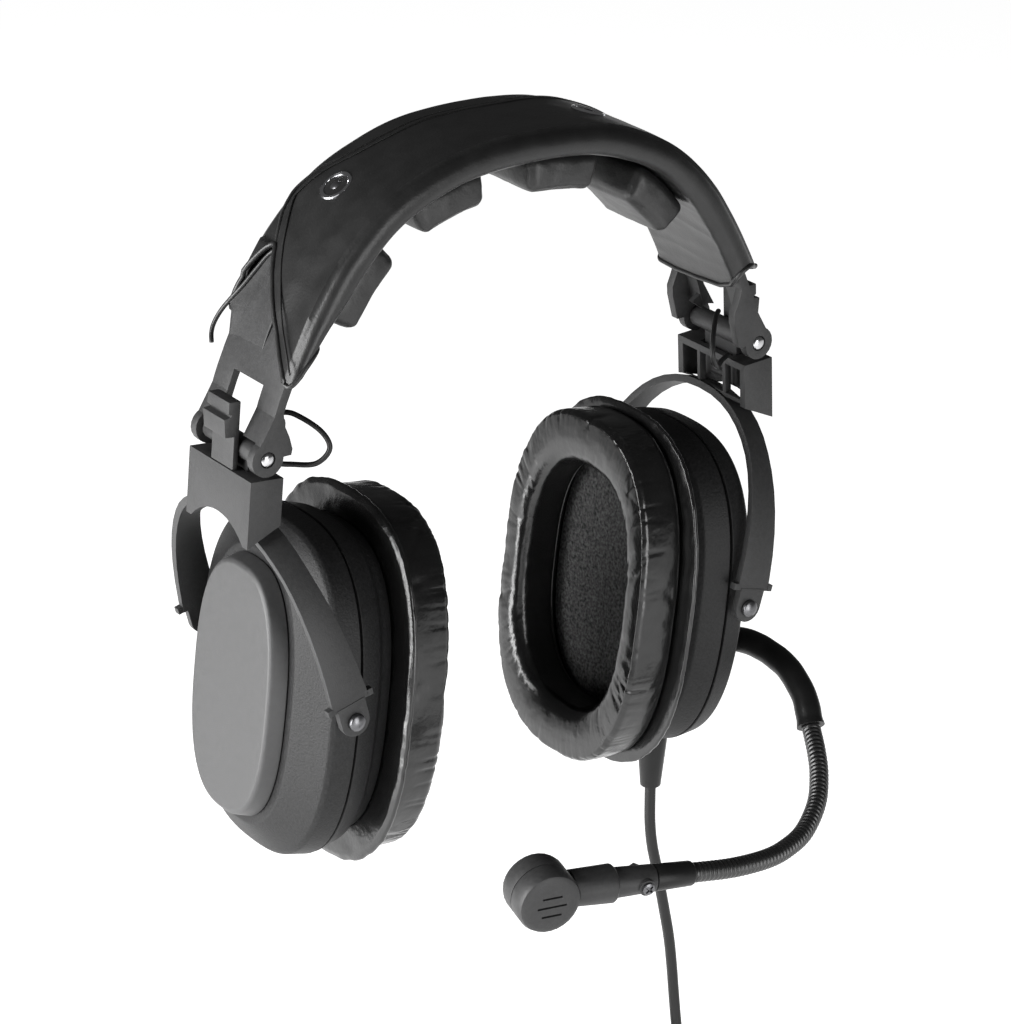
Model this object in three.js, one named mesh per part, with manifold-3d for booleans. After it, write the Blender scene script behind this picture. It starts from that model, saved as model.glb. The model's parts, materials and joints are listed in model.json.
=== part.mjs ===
// Headset microphone for stage crews: a padded headband, two tilting ear cups, a boom
// microphone on a gooseneck, and a cord with a round connector.
// Millimetres. +X is the wearer's left, -Y is where the wearer looks, +Z is up.
// The origin is the crown of the head, under the headband's pads.

import * as THREE from 'three';
import { mergeVertices } from 'three/addons/utils/BufferGeometryUtils.js';
import Module from 'manifold-3d';

const wasm = await Module();
wasm.setup();
const { Manifold, Mesh } = wasm;

// ---------------------------------------------------------------- driving dimensions

const GAP = 0.3; // space kept between pieces that touch

// headband: the outer line of the cover, from the crown down to the end of the arm
const BAND_RISE = 78;
const BAND_TOP = 21;
const BAND_FOOT = 83.4;
const BAND_WIDTH = 30;
const COVER_WIDTH = 39;
const COVER_DEPTH = 7.4;
const COVER_WALL = 1.5;
const PAD_DEPTH = 9.8;

// arm hinge: the chrome pin through the end of the band
const PIN = { x: 78.9, z: BAND_TOP - BAND_RISE + 5.4 };
const PIN_RADIUS = 1.4;
const KNUCKLE_RADIUS = 4.6;
const BLOCK_TILT = THREE.MathUtils.degToRad(4.2);

// height block, measured from the pin
const BLOCK = { width: 29.8, depth: 9.6, drop: 5.4, outer: 18, inner: 12.8, wall: 2.2 };
const TONGUE_WIDTH = 15;

// ear cups: each layer's place is its distance out from the middle of the head
const CUP_Y = 5;
const CUP_Z = -124;
const CUSHION_FACE = 31;
const CUSHION_BACK = 44.7;
const FLANGE_BACK = 47.2;
const SEAM = 60.8;
const SHELL_BACK = 73.2;
const CAP_BACK = 78.6;
const PIVOT_X = 64.4;
const PIVOT_Z = -120.5;
const CUP_TURN = THREE.MathUtils.degToRad(5.8); // both cups hang turned the same way
const SQUARENESS = 2.6; // superellipse power of the cup outlines

// the window in each arm that its catch reaches through
const WINDOW = { front: -6.4, rear: 7.5, top: 16.5 };

// yoke: an arch over the cup that leans out to meet the block
const YOKE = { reach: 37.4, rise: 52.3, thick: 2, ear: 11.6, crest: 7, earRadius: 4.2 };
const YOKE_LEAN = Math.atan2(14, 51);
const ROCK = { radius: 30, angle: THREE.MathUtils.degToRad(4) };
const YOKE_POWER = 2.25;

// ---------------------------------------------------------------- materials

function finish(color, roughness, metalness = 0) {
  return new THREE.MeshStandardMaterial({ color, roughness, metalness });
}

const plastic = finish(0x2c2c2e, 0.55);
const capPlastic = finish(0x3a3a3c, 0.45);
const leatherette = finish(0x161617, 0.35);
const cushionSkin = finish(0x101011, 0.22);
const foam = finish(0x2a2a2c, 0.95);
const rubber = finish(0x18181a, 0.7);
const cable = finish(0x1c1c1e, 0.6);
const chrome = finish(0xd8d8dc, 0.15, 1);
const steel = finish(0x9a9aa0, 0.3, 1);

const group = new THREE.Group();

function add(name, geometry, material) {
  const mesh = new THREE.Mesh(outward(geometry), material);
  mesh.name = name;
  group.add(mesh);
}

// ---------------------------------------------------------------- shape helpers

function clean(geometry) {
  const bare = new THREE.BufferGeometry();
  bare.setAttribute('position', geometry.getAttribute('position'));
  if (geometry.index) bare.setIndex(geometry.index);
  return mergeVertices(bare, 1e-4);
}

// turns a closed surface the right way out
function outward(geometry) {
  const g = clean(geometry);
  const p = g.getAttribute('position');
  const index = g.index.array;
  const [a, b, c] = [new THREE.Vector3(), new THREE.Vector3(), new THREE.Vector3()];
  let volume = 0;
  for (let i = 0; i < index.length; i += 3) {
    a.fromBufferAttribute(p, index[i]);
    b.fromBufferAttribute(p, index[i + 1]);
    c.fromBufferAttribute(p, index[i + 2]);
    volume += a.dot(b.cross(c)) / 6;
  }
  if (volume < 0) {
    for (let i = 0; i < index.length; i += 3) [index[i], index[i + 1]] = [index[i + 1], index[i]];
  }
  return g;
}

function toSolid(geometry) {
  const g = outward(geometry);
  const mesh = new Mesh({
    numProp: 3,
    vertProperties: new Float32Array(g.getAttribute('position').array),
    triVerts: new Uint32Array(g.index.array),
  });
  return new Manifold(mesh);
}

function toGeometry(solid) {
  const mesh = solid.getMesh();
  const g = new THREE.BufferGeometry();
  g.setAttribute('position', new THREE.BufferAttribute(new Float32Array(mesh.vertProperties), 3));
  g.setIndex(new THREE.BufferAttribute(new Uint32Array(mesh.triVerts), 1));
  g.computeVertexNormals();
  return g;
}

function cut(body, ...tools) {
  let solid = toSolid(body);
  for (const tool of tools) solid = solid.subtract(toSolid(tool));
  return toGeometry(solid);
}

function join(...bodies) {
  let solid = toSolid(bodies[0]);
  for (const body of bodies.slice(1)) solid = solid.add(toSolid(body));
  return toGeometry(solid);
}

function box(x0, x1, y0, y1, z0, z1) {
  const g = new THREE.BoxGeometry(x1 - x0, y1 - y0, z1 - z0);
  return g.translate((x0 + x1) / 2, (y0 + y1) / 2, (z0 + z1) / 2);
}

// a flat outline of [x, z] points, given depth along Y
function prism(points, y0, y1) {
  const shape = new THREE.Shape(points.map(([x, z]) => new THREE.Vector2(x, z)));
  const g = new THREE.ExtrudeGeometry(shape, { depth: y1 - y0, bevelEnabled: false });
  return clean(g.rotateX(Math.PI / 2).translate(0, y1, 0));
}

function rodY(radius, x, z, y0, y1, sides = 20) {
  return new THREE.CylinderGeometry(radius, radius, y1 - y0, sides).translate(x, (y0 + y1) / 2, z);
}

// a turned piece: profile of [radius, height] pairs, stood on `from`, pointing along `dir`
function turned(profile, from, dir, sides = 24) {
  const points = profile.map(([r, h]) => new THREE.Vector2(r, h));
  const g = clean(new THREE.LatheGeometry(points, sides));
  const up = new THREE.Vector3(0, 1, 0);
  g.applyQuaternion(new THREE.Quaternion().setFromUnitVectors(up, dir.clone().normalize()));
  return g.translate(from.x, from.y, from.z);
}

// a round tube with closed ends along a curve
function tube(curve, radius, sides, steps) {
  const section = new THREE.Shape();
  for (let i = 0; i < sides; i++) {
    const a = (2 * Math.PI * i) / sides;
    const x = radius * Math.cos(a);
    const y = radius * Math.sin(a);
    if (i === 0) section.moveTo(x, y);
    else section.lineTo(x, y);
  }
  section.closePath();
  return clean(new THREE.ExtrudeGeometry(section, { extrudePath: curve, steps, bevelEnabled: false }));
}

function smooth(points) {
  return new THREE.CatmullRomCurve3(points.map((p) => new THREE.Vector3(...p)), false, 'centripetal');
}

// the same shape on both sides of the head
function addPair(name, geometry, material) {
  add(`${name}_left`, geometry, material);
  add(`${name}_right`, clean(geometry).scale(-1, 1, 1), material);
}

// turns a shape about a line along Y through (x, z); a positive angle swings its foot outward
function swing(geometry, x, z, angle) {
  return geometry.translate(-x, 0, -z).rotateY(-angle).translate(x, 0, z);
}

// a cup's piece on both sides, turned on the pivots' line as the cups hang
function addCupPair(name, geometry, material) {
  add(`${name}_left`, onCup(clean(geometry), 1), material);
  add(`${name}_right`, onCup(clean(geometry), -1).scale(-1, 1, 1), material);
}

function onCup(geometry, side) {
  return swing(geometry, PIVOT_X, PIVOT_Z, -side * CUP_TURN);
}

// ---------------------------------------------------------------- superellipse layers

function outlinePoint(a, halfWidth, halfHeight) {
  const c = Math.cos(a);
  const s = Math.sin(a);
  const k = 2 / SQUARENESS;
  return [
    CUP_Y + halfWidth * Math.sign(c) * Math.abs(c) ** k,
    CUP_Z + halfHeight * Math.sign(s) * Math.abs(s) ** k,
  ];
}

// a cup layer: profile of [x, halfWidth, halfHeight]; a closed profile makes a ring,
// an open one starts and ends on the cup's axis
function layer(profile, { closed = false, sides = 28 } = {}) {
  const positions = [];
  const index = [];
  const rows = profile.map(([x, w, h]) => {
    const start = positions.length / 3;
    if (w === 0) {
      positions.push(x, CUP_Y, CUP_Z);
      return { start, point: true };
    }
    for (let i = 0; i < sides; i++) {
      const [y, z] = outlinePoint((2 * Math.PI * i) / sides, w, h);
      positions.push(x, y, z);
    }
    return { start, point: false };
  });
  const last = closed ? rows.length : rows.length - 1;
  for (let r = 0; r < last; r++) {
    const a = rows[r];
    const b = rows[(r + 1) % rows.length];
    for (let i = 0; i < sides; i++) {
      const j = (i + 1) % sides;
      if (a.point) index.push(a.start, b.start + i, b.start + j);
      else if (b.point) index.push(a.start + i, b.start, a.start + j);
      else {
        index.push(a.start + i, b.start + i, a.start + j);
        index.push(a.start + j, b.start + i, b.start + j);
      }
    }
  }
  const g = new THREE.BufferGeometry();
  g.setAttribute('position', new THREE.Float32BufferAttribute(positions, 3));
  g.setIndex(index);
  return g;
}

// ---------------------------------------------------------------- headband

const bandHalf = [[0, 78], [20, 76.6], [33, 72.7], [46, 66], [57.5, 55], [65, 44.4], [71.3, 33.6], [75.4, 25.2], [78.6, 17]];
const bandPoints = [
  [-BAND_FOOT, 0],
  ...bandHalf.slice(1).reverse().map(([x, z]) => [-x, z]),
  ...bandHalf,
  [BAND_FOOT, 0],
];
const bandLine = smooth(bandPoints.map(([x, z]) => [x, 0, z + BAND_TOP - BAND_RISE]));

// a point on the band: t runs 0..1 from right foot to left foot, `inward` is depth under the cover
function bandPoint(t, inward) {
  const p = bandLine.getPointAt(t);
  const d = bandLine.getTangentAt(t);
  return [p.x + d.z * inward, p.z - d.x * inward];
}

function bandStrip(t0, t1, in0, in1, y0, y1, steps) {
  const outer = [];
  const inner = [];
  for (let i = 0; i <= steps; i++) {
    const t = t0 + ((t1 - t0) * i) / steps;
    outer.push(bandPoint(t, in0));
    inner.push(bandPoint(t, in1));
  }
  return prism([...outer, ...inner.reverse()], y0, y1);
}

const COVER_FROM = 0.078; // the cover's two ends, as shares of the band's length
const COVER_TO = 0.886;
const END_TOP = 0.16; // where the moulded end stops inside the cover

function buildBand() {
  const half = BAND_WIDTH / 2;
  add('band_spring', bandStrip(END_TOP - 0.03, 1.03 - END_TOP, 4.6, 5.5, -half + 2, half - 2, 30), steel);

  const cover = cut(
    bandStrip(COVER_FROM, COVER_TO, 0, COVER_DEPTH, -COVER_WIDTH / 2, COVER_WIDTH / 2, 30),
    bandStrip(COVER_FROM - 0.01, COVER_TO + 0.01, COVER_WALL, COVER_DEPTH - COVER_WALL,
      -half - 0.6, half + 0.6, 32),
  );
  add('band_cover', cover, leatherette);

  const pads = 4;
  const padLength = 0.1;
  const middle = (COVER_FROM + COVER_TO) / 2 - 0.006;
  for (let i = 0; i < pads; i++) {
    const mid = middle + (i - (pads - 1) / 2) * 0.162;
    const depth = COVER_DEPTH + GAP;
    const pad = bandStrip(mid - padLength / 2, mid + padLength / 2, depth, depth + PAD_DEPTH, -13, 13, 5);
    add(`crown_pad_${i + 1}`, pad, foam);
  }
}

// the moulded arm at one end of the band: a channel, open inward, with a window for the catch;
// its side walls are deep below the cover, and slim from `slimFrom` to `slimTo` where they enter it
function bandEnd(slimFrom, slimTo) {
  const half = BAND_WIDTH / 2;
  const steps = 12;
  const outer = [];
  const inner = [];
  for (let i = 0; i <= steps; i++) {
    const f = i / steps;
    const t = 0.985 - (END_TOP - 0.015) * f;
    outer.push(bandPoint(t, 1.8));
    inner.push(bandPoint(t, 9.6 - 5.4 * THREE.MathUtils.smoothstep(f, slimFrom, slimTo)));
  }
  const arm = prism([...outer, ...inner.reverse()], -half, half);
  const knuckle = rodY(KNUCKLE_RADIUS, PIN.x, PIN.z, -half, half, 20);
  const cheek = prism([
    [PIN.x - KNUCKLE_RADIUS, PIN.z], [PIN.x + KNUCKLE_RADIUS, PIN.z],
    bandPoint(0.93, 1.8), bandPoint(0.93, 5), [PIN.x - KNUCKLE_RADIUS - 0.6, PIN.z + 9],
  ], -half, half);
  const belowPin = box(60, 100, -20, 20, PIN.z - 20, PIN.z);
  const body = join(cut(arm, belowPin), knuckle, cheek);

  const pocketOuter = [];
  const pocketInner = [];
  for (let i = 0; i <= 6; i++) {
    const t = 1.0 - (END_TOP - 0.06) * (i / 6);
    pocketOuter.push(bandPoint(t, 3.9 - 0.6 * (1 - i / 6)));
    pocketInner.push(bandPoint(t, 14));
  }
  const foot = PIN.z - 12;
  const pocket = prism(
    [[pocketOuter[0][0], foot], ...pocketOuter, ...pocketInner.reverse(), [66, foot]],
    -half + 2.6, half - 2.6,
  );
  const slot = box(PIN.x - 8, PIN.x + 12, WINDOW.front, WINDOW.rear, PIN.z - 8, PIN.z + WINDOW.top);
  const barrelRoom = rodY(KNUCKLE_RADIUS + 0.2, PIN.x, PIN.z, -half + 2.6, half - 2.6, 16);
  const hole = rodY(PIN_RADIUS + 0.15, PIN.x, PIN.z, -half - 1, half + 1, 12);
  const frontBore = rodY(2.2, PIN.x, PIN.z, -half - 1, -half + 1, 12);
  const rearBore = rodY(2.2, PIN.x, PIN.z, half - 1, half + 1, 12);
  const shell = cut(body, pocket, slot, barrelRoom, hole, frontBore, rearBore);

  // two gussets that stiffen the web above the hinge
  const web = bandPoint(0.94, 3.6);
  const lower = bandPoint(0.96, 3.6);
  const tip = bandPoint(0.944, 6.8);
  const gussets = [-9.5, 8.5].map((y) => prism([web, lower, tip], y - 0.8, y + 0.8));
  return join(shell, ...gussets);
}

function buildBandEnds() {
  const half = BAND_WIDTH / 2;
  add('band_end_left', bandEnd(0.36, 0.62), plastic);
  add('band_end_right', clean(bandEnd(0.14, 0.42)).scale(-1, 1, 1), plastic);
  addPair('hinge_pin', rodY(PIN_RADIUS, PIN.x, PIN.z, -half + 0.5, half - 0.5, 12), chrome);
}

function buildEyelets() {
  // chrome snap rings through the cover, one on each side of the crown
  for (const [name, t, y] of [['eyelet_left', 0.611, -1.5], ['eyelet_right', 0.306, 3.5]]) {
    const p = bandPoint(t, -GAP);
    const q = bandPoint(t, -GAP - 1);
    const dir = new THREE.Vector3(q[0] - p[0], 0, q[1] - p[1]);
    const ring = turned([[2.2, 0], [4.8, 0], [4.8, 0.5], [3.9, 1.1], [2.6, 0.9], [2.2, 0]],
      new THREE.Vector3(p[0], y, p[1]), dir, 20);
    add(name, ring, chrome);
  }
}

// ---------------------------------------------------------------- arm: link, block, catch

function atPin(geometry) {
  return swing(geometry, PIN.x, PIN.z, BLOCK_TILT);
}

function buildArm() {
  const reach = BAND_WIDTH / 2 - 2.9;
  const top = PIN.z - BLOCK.drop;
  const outer = PIN.x + 4.6;
  const inner = outer - BLOCK.depth;
  const half = BLOCK.width / 2;

  // link: a barrel on the pin with a toothed tongue that the block rides on
  const barrel = rodY(2.9, PIN.x, PIN.z, -reach, reach, 16);
  const tongueX = PIN.x - 1.6;
  const tongue = box(tongueX, tongueX + 2.4, -7, 7, top - 10, PIN.z - 1);
  const teeth = [0, 1, 2, 3].map((i) => {
    const z = top - 1.6 - 2.2 * i;
    return prism([[tongueX + 0.2, z], [tongueX - 0.8, z - 0.2], [tongueX + 0.2, z - 1.5]], -4, 4);
  });
  const bore = rodY(PIN_RADIUS + 0.06, PIN.x, PIN.z, -reach - 1, reach + 1, 12);
  const link = cut(join(barrel, tongue, ...teeth), bore);
  addPair('link', atPin(link), plastic);

  // height block: arched outer face, open inward with ribs
  const body = prism([[inner, top], [outer, top], [outer, top - BLOCK.outer], [inner, top - BLOCK.inner]],
    -half, half);
  const w = BLOCK.wall;
  const hollow = prism(
    [[inner - 1, top - 2], [outer - w, top - 2], [outer - w, top - 30], [inner - 1, top - 30]],
    -half + w, half - w,
  );
  const sag = 5.5;
  const archRadius = (12.6 ** 2 + sag ** 2) / (2 * sag);
  const arch = new THREE.CylinderGeometry(archRadius, archRadius, 40, 48).rotateZ(Math.PI / 2);
  arch.translate(PIN.x, 0, top - BLOCK.outer + sag - archRadius);
  const slot = box(tongueX - 1.4, tongueX + 2.9, -7.5, 7.5, top - 3, top + 1);
  const rear = half - w - 1;
  const archOnly = toGeometry(toSolid(arch).intersect(
    toSolid(box(outer - w - 1, outer + 1, -half + 1.2, half - 1.2, top - 40, top))));
  let block = cut(body, hollow, slot, archOnly);
  const ribs = [-5.6, 5.6].map((y) => box(inner, inner + 2, y - 0.6, y + 0.6, top - 11, top - 1));
  const rail = box(inner, inner + 1.2, -rear - 1.5, rear + 1.5, top - 12, top - 10.8);
  block = cut(atPin(join(block, ...ribs, rail)), ...yokeSweep());
  addPair('height_block', block, plastic);

  // catch: a stepped thumb piece that stands on the block and reaches up through the arm's slot
  const foot = top + GAP;
  const y0 = WINDOW.front + 0.5;
  const y1 = y0 + 10.4;
  const stem = box(outer - 1.5, outer, y0, y1, foot, foot + 17);
  const head = prism(
    [[outer - 1.5, foot + 8.8], [outer + 2.6, foot + 8.8], [outer + 3.2, foot + 13.8],
      [outer + 1.2, foot + 14.2], [outer + 1.2, foot + 14.8], [outer + 2, foot + 15],
      [outer + 2, foot + 18.2], [outer - 1.5, foot + 18.2]],
    y0, y1,
  );
  addPair('height_catch', atPin(join(stem, head)), plastic);
}

// ---------------------------------------------------------------- yoke

// the arch without its ears, standing on the pivots' line; `grow` thickens it all round
function yokeArch(grow) {
  const steps = 26;
  const positions = [];
  const index = [];
  const k = 2 / YOKE_POWER;
  const half = YOKE.thick / 2 + grow;
  for (let i = 0; i <= steps; i++) {
    const a = (Math.PI * i) / steps;
    const c = Math.cos(a);
    const s = Math.sin(a);
    const [y0, y1] = [-half, half].map((o) => (YOKE.reach + o) * Math.sign(c) * Math.abs(c) ** k);
    const [z0, z1] = [-half, half].map((o) => (YOKE.rise + o) * Math.abs(s) ** k);
    const taper = 1 - Math.min(1, z1 / 40);
    const x = (YOKE.crest + (YOKE.ear - YOKE.crest) * taper) / 2 + grow;
    positions.push(-x, y0, z0, x, y0, z0, x, y1, z1, -x, y1, z1);
  }
  for (let i = 0; i < steps; i++) {
    for (let j = 0; j < 4; j++) {
      const a = 4 * i + j;
      const b = 4 * i + ((j + 1) % 4);
      index.push(a, b, a + 4, b, b + 4, a + 4);
    }
  }
  const e = 4 * steps;
  index.push(0, 2, 1, 0, 3, 2, e, e + 1, e + 2, e, e + 2, e + 3);
  const arch = new THREE.BufferGeometry();
  arch.setAttribute('position', new THREE.Float32BufferAttribute(positions, 3));
  arch.setIndex(index);
  return arch;
}

function placeYoke(geometry) {
  return geometry.rotateY(YOKE_LEAN).translate(PIVOT_X, CUP_Y, PIVOT_Z);
}

// the space the arch sweeps as it rocks fore and aft under the block
function yokeSweep() {
  const centre = PIVOT_Z + (YOKE.rise * Math.cos(YOKE_LEAN)) - ROCK.radius;
  return [-1, -0.5, 0, 0.5, 1].map((f) => placeYoke(yokeArch(0.35))
    .translate(0, -CUP_Y, -centre).rotateX(f * ROCK.angle).translate(0, CUP_Y, centre));
}

function buildYoke() {
  // each arm steps in above the pivot to a small round ear, with a hook on each side of the step
  const half = YOKE.thick / 2;
  const step = 5;
  const parts = [];
  const hooks = [];
  for (const side of [-1, 1]) {
    const y = side * YOKE.reach;
    parts.push(rodY(YOKE.earRadius, 0, 0, y - half, y + half, 20));
    parts.push(box(-YOKE.earRadius, YOKE.earRadius, y - half, y + half, -0.5, step + 0.5));
    for (const x of [-1, 1]) {
      const edge = x * (YOKE.ear / 2 - 0.4);
      hooks.push(box(Math.min(edge, edge + x * 1.5), Math.max(edge, edge + x * 1.5), y - half, y + half, step, step + 1.8));
    }
  }
  const below = box(-20, 20, -60, 60, -20, step);
  const arch = cut(yokeArch(0), below);
  const bore = rodY(1.45, 0, 0, -YOKE.reach - 3, YOKE.reach + 3, 12);
  addPair('yoke', placeYoke(cut(join(arch, ...parts, ...hooks), bore)), plastic);
}

// ---------------------------------------------------------------- ear cups

function buildCups() {
  const rim = CUSHION_BACK;
  addCupPair('ear_cushion', layer([
    [CUSHION_FACE + 1.4, 32, 49.8], [CUSHION_FACE + 0.2, 31, 48.6], [CUSHION_FACE, 28.8, 45.6],
    [CUSHION_FACE, 26, 41.2], [CUSHION_FACE + 0.7, 24.2, 37.6], [CUSHION_FACE + 2.4, 22.8, 35.2], [rim - 1, 22.4, 34.6],
    [rim, 23, 35.2], [rim, 31.4, 49], [rim - 1.6, 32, 49.8],
  ], { closed: true }), cushionSkin);

  const skirt = CUSHION_BACK + GAP;
  addCupPair('cushion_skirt', layer([
    [skirt, 24.5, 37.5], [FLANGE_BACK, 24.5, 37.5], [FLANGE_BACK, 35.6, 50],
    [FLANGE_BACK - 0.8, 36.8, 51.4], [skirt, 35.4, 50.2],
  ], { closed: true }), cushionSkin);

  addCupPair('driver_foam', layer([
    [skirt + 0.6, 0, 0], [skirt + 0.6, 24.1, 37.1], [FLANGE_BACK, 24.1, 37.1], [FLANGE_BACK, 0, 0],
  ]), foam);

  const face = FLANGE_BACK + GAP;
  addCupPair('baffle', layer([
    [face, 0, 0], [face, 26.4, 41], [face + 2, 26.4, 41], [face + 2, 0, 0],
  ]), plastic);

  addCupPair('inner_shell', layer([
    [face, 26.8, 41.4], [face, 28.4, 43], [face + 3.6, 29.2, 43.7], [53.2, 31.6, 45.5], [SEAM - GAP, 34.2, 47],
    [SEAM - GAP, 32, 44.8], [54.8, 29.6, 43.4], [face + 4.4, 27.6, 42], [face + 2.4, 26.8, 41.4],
  ], { closed: true }), plastic);

  const axis = new THREE.Vector3(1, 0, 0);
  const driver = turned([[0, 0], [20, 0], [20, 3], [14, 4.2], [14, 9], [0, 9]],
    new THREE.Vector3(face + 2 + GAP, CUP_Y, CUP_Z), axis, 28);
  addCupPair('driver', driver, steel);

  addCupPair('outer_shell', layer([
    [SHELL_BACK, 0, 0], [SHELL_BACK, 22, 38], [67.9, 32.4, 45.5], [66.8, 33.2, 46.2],
    [SEAM, 34.2, 47], [SEAM, 32, 44.8], [66.2, 30.8, 43.8], [SHELL_BACK - 2.4, 20.6, 36.4],
    [SHELL_BACK - 2.4, 0, 0],
  ].reverse()), plastic);

  const cap = layer([
    [CAP_BACK, 0, 0], [CAP_BACK, 17.8, 33.8], [CAP_BACK - 0.7, 18.7, 34.8],
    [SHELL_BACK + GAP, 19.6, 36], [SHELL_BACK + GAP, 0, 0],
  ].reverse());
  addCupPair('cup_cap', cap, capPlastic);

  // domed rivets that the cup tilts on
  const seat = YOKE.reach + YOKE.thick / 2;
  const profile = [[0, 0], [1.35, 0], [1.35, 3.3], [2.5, 3.5], [2.3, 4.4], [1.3, 4.9], [0, 5.1]];
  for (const [name, side] of [['front', -1], ['rear', 1]]) {
    const from = new THREE.Vector3(PIVOT_X, CUP_Y + side * (seat - 3.2), PIVOT_Z);
    const rivet = turned(profile, from, new THREE.Vector3(0, side, 0), 12);
    addPair(`pivot_rivet_${name}`, rivet, steel);
  }
}

// ---------------------------------------------------------------- slack wires over each hinge

const wireRoute = [
  [70.6, -7, PIN.z + 8.6], [67.6, -9.6, PIN.z + 8.2], [63, -14.4, PIN.z + 4.4], [61.6, -16.5, PIN.z],
  [64.6, -14.8, PIN.z - 4], [69.6, -10.5, PIN.z - 4.6], [73.4, -8.6, PIN.z - 4.2],
];

function buildWires() {
  addPair('hinge_wire', tube(smooth(wireRoute), 0.7, 6, 16), cable);
}

// ---------------------------------------------------------------- boom and microphone

const boomRoot = new THREE.Vector3(CAP_BACK + GAP, CUP_Y - 4, CUP_Z - 24);
const sleeveRoute = [
  [84.6, 0.5, -148.2], [85.4, -5, -146.6], [86.4, -10.5, -146], [87.7, -16.5, -146.9], [88.2, -23.5, -148.6],
  [87.5, -29.5, -151.2], [86.4, -34.5, -154.2], [84.3, -39.8, -159.6],
];
const neckRoute = [
  [83.8, -41, -160.6], [80.3, -47.2, -163], [75.8, -54, -166.1], [68.5, -62, -169.5],
  [58.4, -69, -172.2], [48.8, -73.4, -172.4], [39, -76.6, -171.4], [25, -79.4, -168.6], [11, -80.5, -165.3],
];
const NECK_SPLIT = 0.5; // where the gooseneck's two halves meet
const NECK_GAP = 0.0075;
const micAxis = new THREE.Vector3(-1, 0.2, 0.08).normalize();
const micFacing = new THREE.Vector3(-0.2, -0.975, -0.08).normalize();

// lengths along the microphone's axis; the slots sit a little below the middle of the drum
const MIC = { ferrule: 11.4, stem: 11.3, neck: 12.4, radius: 8.75, depth: 13.4, drop: 0.6 };

function along(point, dir, distance) {
  return point.clone().add(dir.clone().multiplyScalar(distance));
}

function buildBoom() {
  const out = new THREE.Vector3(1, 0, 0);
  const hub = [[0, 0], [8.6, 0], [8.6, 2.4], [7.4, 6.4], [6, 8.4], [0, 8.8]];
  const room = [[0, -1], [8.9, -1], [8.9, 2.5], [7.7, 6.6], [6.2, 8.8], [0, 9.1]];
  const sleeve = tube(smooth(sleeveRoute), 3.75, 12, 14);
  add('boom_sleeve', cut(sleeve, onCup(turned(room, boomRoot, out, 24), 1)), rubber);
  add('boom_turret', onCup(turned(hub, boomRoot, out, 24), 1), plastic);

  const neck = smooth(neckRoute);
  const lower = [];
  const upper = [];
  for (let i = 0; i <= 10; i++) {
    lower.push(neck.getPointAt((NECK_SPLIT * i) / 10).toArray());
    upper.push(neck.getPointAt(NECK_SPLIT + NECK_GAP + ((1 - NECK_SPLIT - NECK_GAP) * i) / 10).toArray());
  }
  add('gooseneck_lower', tube(smooth(lower), 2.65, 10, 12), steel);
  add('gooseneck_upper', tube(smooth(upper), 2.65, 10, 12), steel);

  let at = along(neck.getPointAt(1), micAxis, 3 * GAP);
  const ferrule = [[0, 0], [3, 0], [3.35, 0.7], [3.65, MIC.ferrule], [0, MIC.ferrule]];
  add('mic_ferrule', turned(ferrule, at, micAxis, 20), rubber);

  // the stem has a raised seat for its clamp screw, and the screw's nut opposite
  at = along(at, micAxis, MIC.ferrule + GAP);
  const stem = turned([[0, 0], [3.7, 0], [4.1, MIC.stem], [0, MIC.stem]], at, micAxis, 20);
  const bossAt = along(along(at, micAxis, 3.4), micFacing, 1.5);
  const boss = turned([[0, 0], [2.3, 0], [2.3, 3], [0, 3]], bossAt, micFacing, 16);
  const nutAt = along(along(at, micAxis, 3.4), micFacing, -1.5);
  const nut = turned([[0, 0], [2.3, 0], [2.3, 3.2], [0, 3.2]], nutAt, micFacing.clone().negate(), 6);
  add('mic_stem', join(stem, boss, nut), plastic);
  const head = turned([[0, 0], [1.7, 0], [1.5, 0.6], [0, 0.9]], along(bossAt, micFacing, 3 + GAP), micFacing, 16);
  add('stem_screw', head, steel);

  at = along(at, micAxis, MIC.stem + GAP);
  const neckPiece = turned([[0, 0], [4.7, 0], [5.2, 0.6], [4.9, MIC.neck], [0, MIC.neck]], at, micAxis, 24);

  // microphone: a drum in two halves with a fine seam, slotted at the front
  const { radius, drop } = MIC;
  const centre = along(at, micAxis, MIC.neck + radius - 0.7);
  const drumRear = along(centre, micFacing, -MIC.depth / 2);
  const drumFront = along(drumRear, micFacing, 7.2 + GAP);
  const rear = turned([[0, 0], [radius - 2, 0], [radius - 0.4, 1.2], [radius, 2.6], [radius, 7.2], [0, 7.2]],
    drumRear, micFacing, 28);
  const clear = turned([[0, -1], [radius + GAP, -1], [radius + GAP, 20], [0, 20]],
    along(drumRear, micFacing, -1), micFacing, 28);
  add('mic_neck', cut(neckPiece, clear), plastic);
  add('mic_housing', rear, plastic);

  const deep = MIC.depth - 7.2 - GAP;
  let front = turned([[0, 0], [radius, 0], [radius, deep - 1.6], [radius - 0.5, deep - 0.5], [radius - 1.7, deep], [0, deep]],
    drumFront, micFacing, 28);
  const level = new THREE.Vector3().crossVectors(new THREE.Vector3(0, 0, 1), micFacing).normalize();
  const rise = new THREE.Vector3().crossVectors(micFacing, level);
  const basis = new THREE.Matrix4().makeBasis(level, rise, micFacing);
  const slots = [[5.6, 2.7], [8.2, 0], [5.6, -2.7]].map(([length, up]) => {
    const g = new THREE.BoxGeometry(length, 0.6, 2.4).translate(0.3, up - drop, deep);
    return g.applyMatrix4(basis).translate(drumFront.x, drumFront.y, drumFront.z);
  });
  front = cut(front, ...slots);
  add('mic_grille', front, plastic);
}

// ---------------------------------------------------------------- cord and connector

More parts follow.
